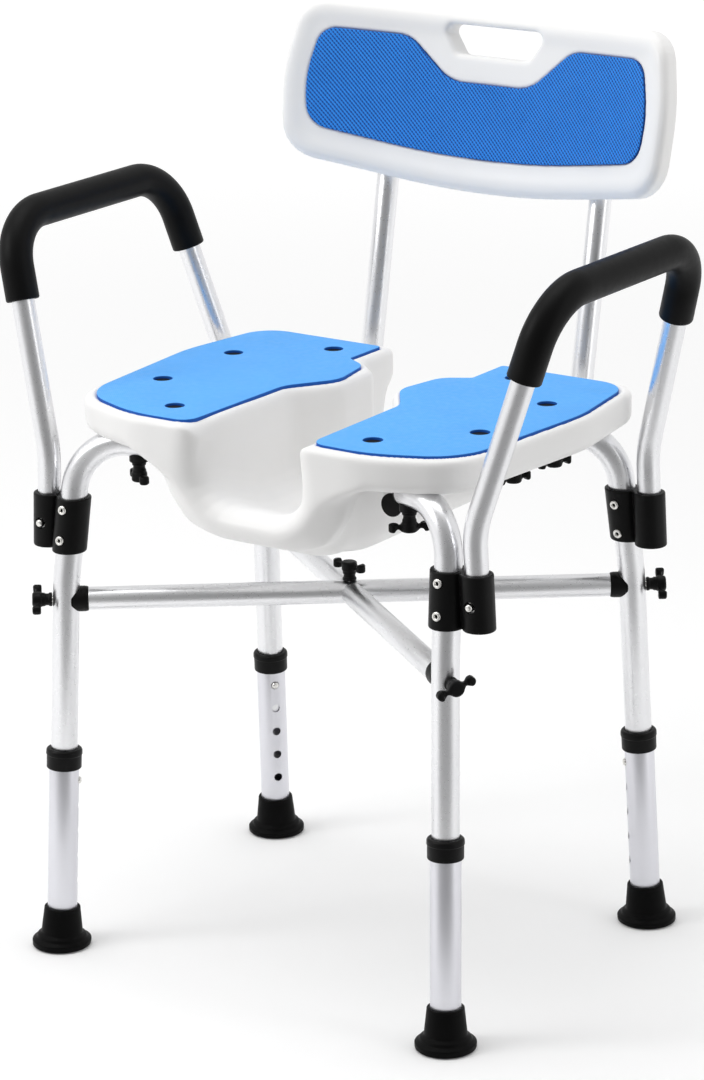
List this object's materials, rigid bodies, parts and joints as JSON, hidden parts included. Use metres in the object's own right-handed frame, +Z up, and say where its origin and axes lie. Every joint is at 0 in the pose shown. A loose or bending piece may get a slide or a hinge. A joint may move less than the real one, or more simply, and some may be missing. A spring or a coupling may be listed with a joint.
{
  "type": "shower chair",
  "caption": "Shower chair with an open-fronted hygiene seat, padded backrest with grab hole, lift-off arms and telescoping tube legs braced by a cross.",
  "frame": {"origin": "on the floor, under the middle of the whole chair", "axes": "+Z up, the sitter faces -Y, +X to the sitter's left"},
  "size_m": [0.631, 0.497, 0.8619],
  "materials": {
    "aluminium": "satin anodised tube",
    "aluminium_lower": "satin anodised tube, slightly cooler",
    "white_plastic": "smooth blow-moulded polyethylene",
    "seat_foam": "closed-cell foam sheet with a fine grain",
    "back_foam": "closed-cell foam sheet with a diamond emboss",
    "grip_foam": "soft black foam sleeve",
    "foot_rubber": "moulded black rubber",
    "black_plastic": "moulded black nylon",
    "steel": "plated steel",
    "insert_brass": "threaded insert"
  },
  "bodies": {
    "frame": {"seat_shell": "white_plastic", "seat_pad_left": "seat_foam", "seat_pad_right": "seat_foam", "seat_inserts": "insert_brass", "seat_knob_saddles": "black_plastic", "back_panel": "white_plastic", "back_pad": "back_foam", "back_screws": "steel", "tube_end_plugs": "black_plastic", "socket_rivets": "steel", "brace_long": "aluminium", "brace_half_front": "aluminium", "brace_half_rear": "aluminium", "brace_spigot": "black_plastic", "brace_saddles": "black_plastic", "back_tube_left": "aluminium", "back_tube_right": "aluminium", "leg_upper_front_left": "aluminium", "leg_upper_front_right": "aluminium", "leg_upper_rear_left": "aluminium", "leg_upper_rear_right": "aluminium", "arm_socket_front_left": "black_plastic", "arm_socket_front_right": "black_plastic", "arm_socket_rear_left": "black_plastic", "arm_socket_rear_right": "black_plastic"},
    "leg_front_left": {"leg_lower_front_left": "aluminium_lower", "leg_collar_front_left": "black_plastic", "foot_front_left": "foot_rubber"},
    "leg_front_right": {"leg_lower_front_right": "aluminium_lower", "leg_collar_front_right": "black_plastic", "foot_front_right": "foot_rubber"},
    "leg_rear_left": {"leg_lower_rear_left": "aluminium_lower", "leg_collar_rear_left": "black_plastic", "foot_rear_left": "foot_rubber"},
    "leg_rear_right": {"leg_lower_rear_right": "aluminium_lower", "leg_collar_rear_right": "black_plastic", "foot_rear_right": "foot_rubber"},
    "arm_left": {"arm_tube_left": "aluminium", "arm_grip_left": "grip_foam"},
    "arm_right": {"arm_tube_right": "aluminium", "arm_grip_right": "grip_foam"},
    "leg_button_front_left": {"leg_button_front_left": "steel"},
    "leg_button_front_right": {"leg_button_front_right": "steel"},
    "leg_button_rear_left": {"leg_button_rear_left": "steel"},
    "leg_button_rear_right": {"leg_button_rear_right": "steel"},
    "arm_button_front_left": {"arm_button_front_left": "steel"},
    "arm_button_rear_left": {"arm_button_rear_left": "steel"},
    "arm_button_front_right": {"arm_button_front_right": "steel"},
    "arm_button_rear_right": {"arm_button_rear_right": "steel"},
    "brace_knob_front_left": {"brace_knob_front_left": "black_plastic"},
    "brace_knob_front_right": {"brace_knob_front_right": "black_plastic"},
    "brace_knob_rear_left": {"brace_knob_rear_left": "black_plastic"},
    "brace_knob_rear_right": {"brace_knob_rear_right": "black_plastic"},
    "seat_knob_front_left": {"seat_knob_front_left": "black_plastic"},
    "seat_knob_front_right": {"seat_knob_front_right": "black_plastic"},
    "seat_knob_rear_left": {"seat_knob_rear_left": "black_plastic"},
    "seat_knob_rear_right": {"seat_knob_rear_right": "black_plastic"},
    "rail_knob_left": {"rail_knob_left": "black_plastic"},
    "rail_knob_right": {"rail_knob_right": "black_plastic"},
    "centre_knob": {"centre_knob": "black_plastic"}
  },
  "joints": [
    {"name": "leg_slide_front_left", "type": "slide", "parent": "frame", "child": "leg_front_left", "axis": [-0.0222, 0.0496, 0.9985], "range_m": [0, 0.1016], "deforming": ["leg_button_front_left"]},
    {"name": "leg_button_press_front_left", "type": "slide", "parent": "frame", "child": "leg_button_front_left", "axis": [0.7812, -0.6225, 0.0483], "range_m": [0, 0.004], "stiffness_N_per_m": 800},
    {"name": "leg_slide_front_right", "type": "slide", "parent": "frame", "child": "leg_front_right", "axis": [0.0222, 0.0496, 0.9985], "range_m": [0, 0.1016], "deforming": ["leg_button_front_right"]},
    {"name": "leg_button_press_front_right", "type": "slide", "parent": "frame", "child": "leg_button_front_right", "axis": [-0.7812, -0.6225, 0.0483], "range_m": [0, 0.004], "stiffness_N_per_m": 800},
    {"name": "leg_slide_rear_left", "type": "slide", "parent": "frame", "child": "leg_rear_left", "axis": [-0.0222, -0.0496, 0.9985], "range_m": [0, 0.1016], "deforming": ["leg_button_rear_left"]},
    {"name": "leg_button_press_rear_left", "type": "slide", "parent": "frame", "child": "leg_button_rear_left", "axis": [0.7812, 0.6225, 0.0483], "range_m": [0, 0.004], "stiffness_N_per_m": 800},
    {"name": "leg_slide_rear_right", "type": "slide", "parent": "frame", "child": "leg_rear_right", "axis": [0.0222, -0.0496, 0.9985], "range_m": [0, 0.1016], "deforming": ["leg_button_rear_right"]},
    {"name": "leg_button_press_rear_right", "type": "slide", "parent": "frame", "child": "leg_button_rear_right", "axis": [-0.7812, 0.6225, 0.0483], "range_m": [0, 0.004], "stiffness_N_per_m": 800},
    {"name": "arm_lift_left", "type": "slide", "parent": "frame", "child": "arm_left", "axis": [-0.0444, 0, 0.999], "range_m": [0, 0.07], "deforming": ["arm_button_front_left", "arm_button_rear_left"]},
    {"name": "arm_button_press_front_left", "type": "slide", "parent": "arm_left", "child": "arm_button_front_left", "axis": [0, 1, 0], "range_m": [0, 0.004], "stiffness_N_per_m": 800},
    {"name": "arm_button_press_rear_left", "type": "slide", "parent": "arm_left", "child": "arm_button_rear_left", "axis": [0, -1, 0], "range_m": [0, 0.004], "stiffness_N_per_m": 800},
    {"name": "arm_lift_right", "type": "slide", "parent": "frame", "child": "arm_right", "axis": [0.0444, 0, 0.999], "range_m": [0, 0.07], "deforming": ["arm_button_front_right", "arm_button_rear_right"]},
    {"name": "arm_button_press_front_right", "type": "slide", "parent": "arm_right", "child": "arm_button_front_right", "axis": [0, 1, 0], "range_m": [0, 0.004], "stiffness_N_per_m": 800},
    {"name": "arm_button_press_rear_right", "type": "slide", "parent": "arm_right", "child": "arm_button_rear_right", "axis": [0, -1, 0], "range_m": [0, 0.004], "stiffness_N_per_m": 800},
    {"name": "brace_knob_turn_front_left", "type": "hinge", "parent": "frame", "child": "brace_knob_front_left", "pos_m": [0.2249, -0.20934, 0.347], "axis": [0.8011, -0.5985, 0], "continuous": true},
    {"name": "brace_knob_turn_front_right", "type": "hinge", "parent": "frame", "child": "brace_knob_front_right", "pos_m": [-0.2249, -0.20934, 0.347], "axis": [-0.8011, -0.5985, 0], "continuous": true},
    {"name": "brace_knob_turn_rear_left", "type": "hinge", "parent": "frame", "child": "brace_knob_rear_left", "pos_m": [0.2249, 0.12672, 0.347], "axis": [0.8011, 0.5985, 0], "continuous": true},
    {"name": "brace_knob_turn_rear_right", "type": "hinge", "parent": "frame", "child": "brace_knob_rear_right", "pos_m": [-0.2249, 0.12672, 0.347], "axis": [-0.8011, 0.5985, 0], "continuous": true},
    {"name": "seat_knob_turn_front_left", "type": "hinge", "parent": "frame", "child": "seat_knob_front_left", "pos_m": [0.152, -0.16331, 0.482], "axis": [0, 0, -1], "continuous": true},
    {"name": "seat_knob_turn_front_right", "type": "hinge", "parent": "frame", "child": "seat_knob_front_right", "pos_m": [-0.152, -0.16331, 0.482], "axis": [0, 0, -1], "continuous": true},
    {"name": "seat_knob_turn_rear_left", "type": "hinge", "parent": "frame", "child": "seat_knob_rear_left", "pos_m": [0.152, 0.08069, 0.482], "axis": [0, 0, -1], "continuous": true},
    {"name": "seat_knob_turn_rear_right", "type": "hinge", "parent": "frame", "child": "seat_knob_rear_right", "pos_m": [-0.152, 0.08069, 0.482], "axis": [0, 0, -1], "continuous": true},
    {"name": "rail_knob_turn_left", "type": "hinge", "parent": "frame", "child": "rail_knob_left", "pos_m": [0.122, 0.05669, 0.4677], "axis": [0, 0, -1], "continuous": true},
    {"name": "rail_knob_turn_right", "type": "hinge", "parent": "frame", "child": "rail_knob_right", "pos_m": [-0.122, 0.05669, 0.4677], "axis": [0, 0, -1], "continuous": true},
    {"name": "centre_knob_turn", "type": "hinge", "parent": "frame", "child": "centre_knob", "pos_m": [0, -0.04131, 0.3583], "axis": [0, 0, 1], "continuous": true}
  ]
}
